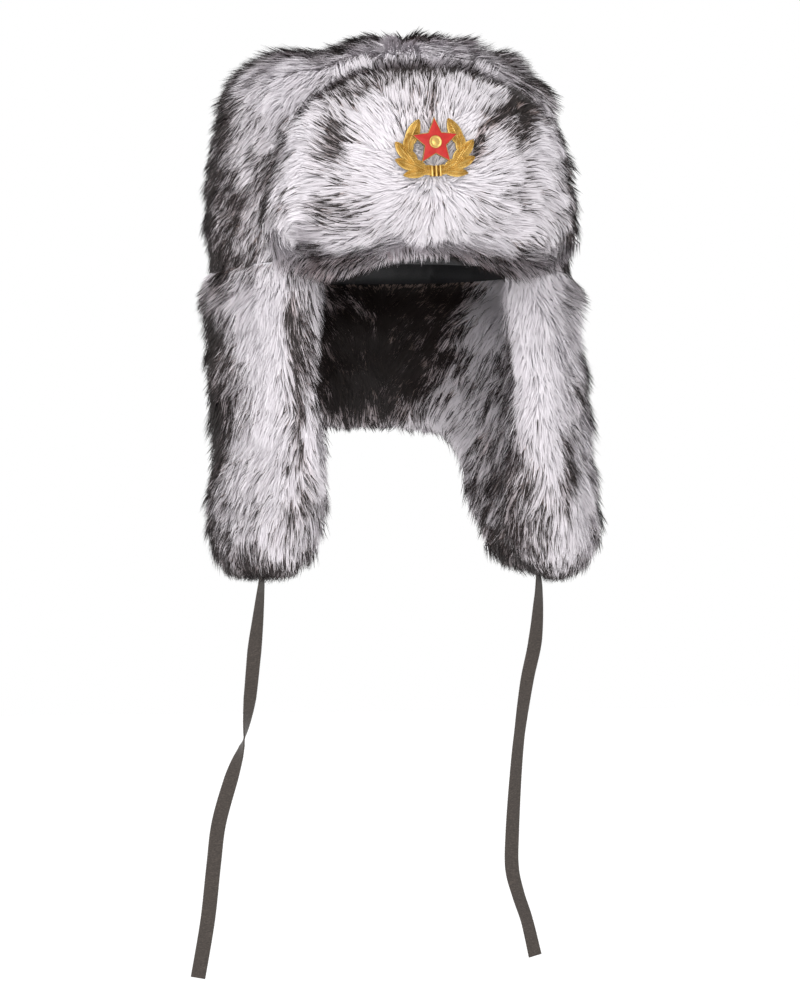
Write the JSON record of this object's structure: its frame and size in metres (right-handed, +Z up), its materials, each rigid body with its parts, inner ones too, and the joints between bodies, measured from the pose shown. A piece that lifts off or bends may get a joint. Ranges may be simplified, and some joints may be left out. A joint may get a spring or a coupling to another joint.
{
  "type": "ushanka",
  "caption": "Deep-fur winter hat with its ear flaps down, a turned-up front flap with a gilt and enamel badge, a cloth lining and hanging tape ties.",
  "frame": {"origin": "middle of the head opening, in the plane of the rim where the hat sits on the head", "axes": "+Z up through the crown, the front flap and badge face -Y, +X is the wearer's left"},
  "size_m": [0.2504, 0.2782, 0.5538],
  "materials": {
    "white_fur": "deep white faux fur with dark tips",
    "black_cloth": "smooth black lining cloth",
    "brown_tape": "ribbed dark brown tape",
    "gilt": "stamped, satin gilt",
    "red_enamel": "glossy red enamel"
  },
  "bodies": {
    "root": {"crown_lining": "black_cloth", "crown_fur": "white_fur", "front_flap": "white_fur", "ear_and_neck_flap": "white_fur", "badge_wreath": "gilt", "badge_star": "gilt", "badge_enamel": "red_enamel", "badge_boss": "gilt", "tie_right": "brown_tape", "tie_left": "brown_tape"}
  },
  "joints": []
}
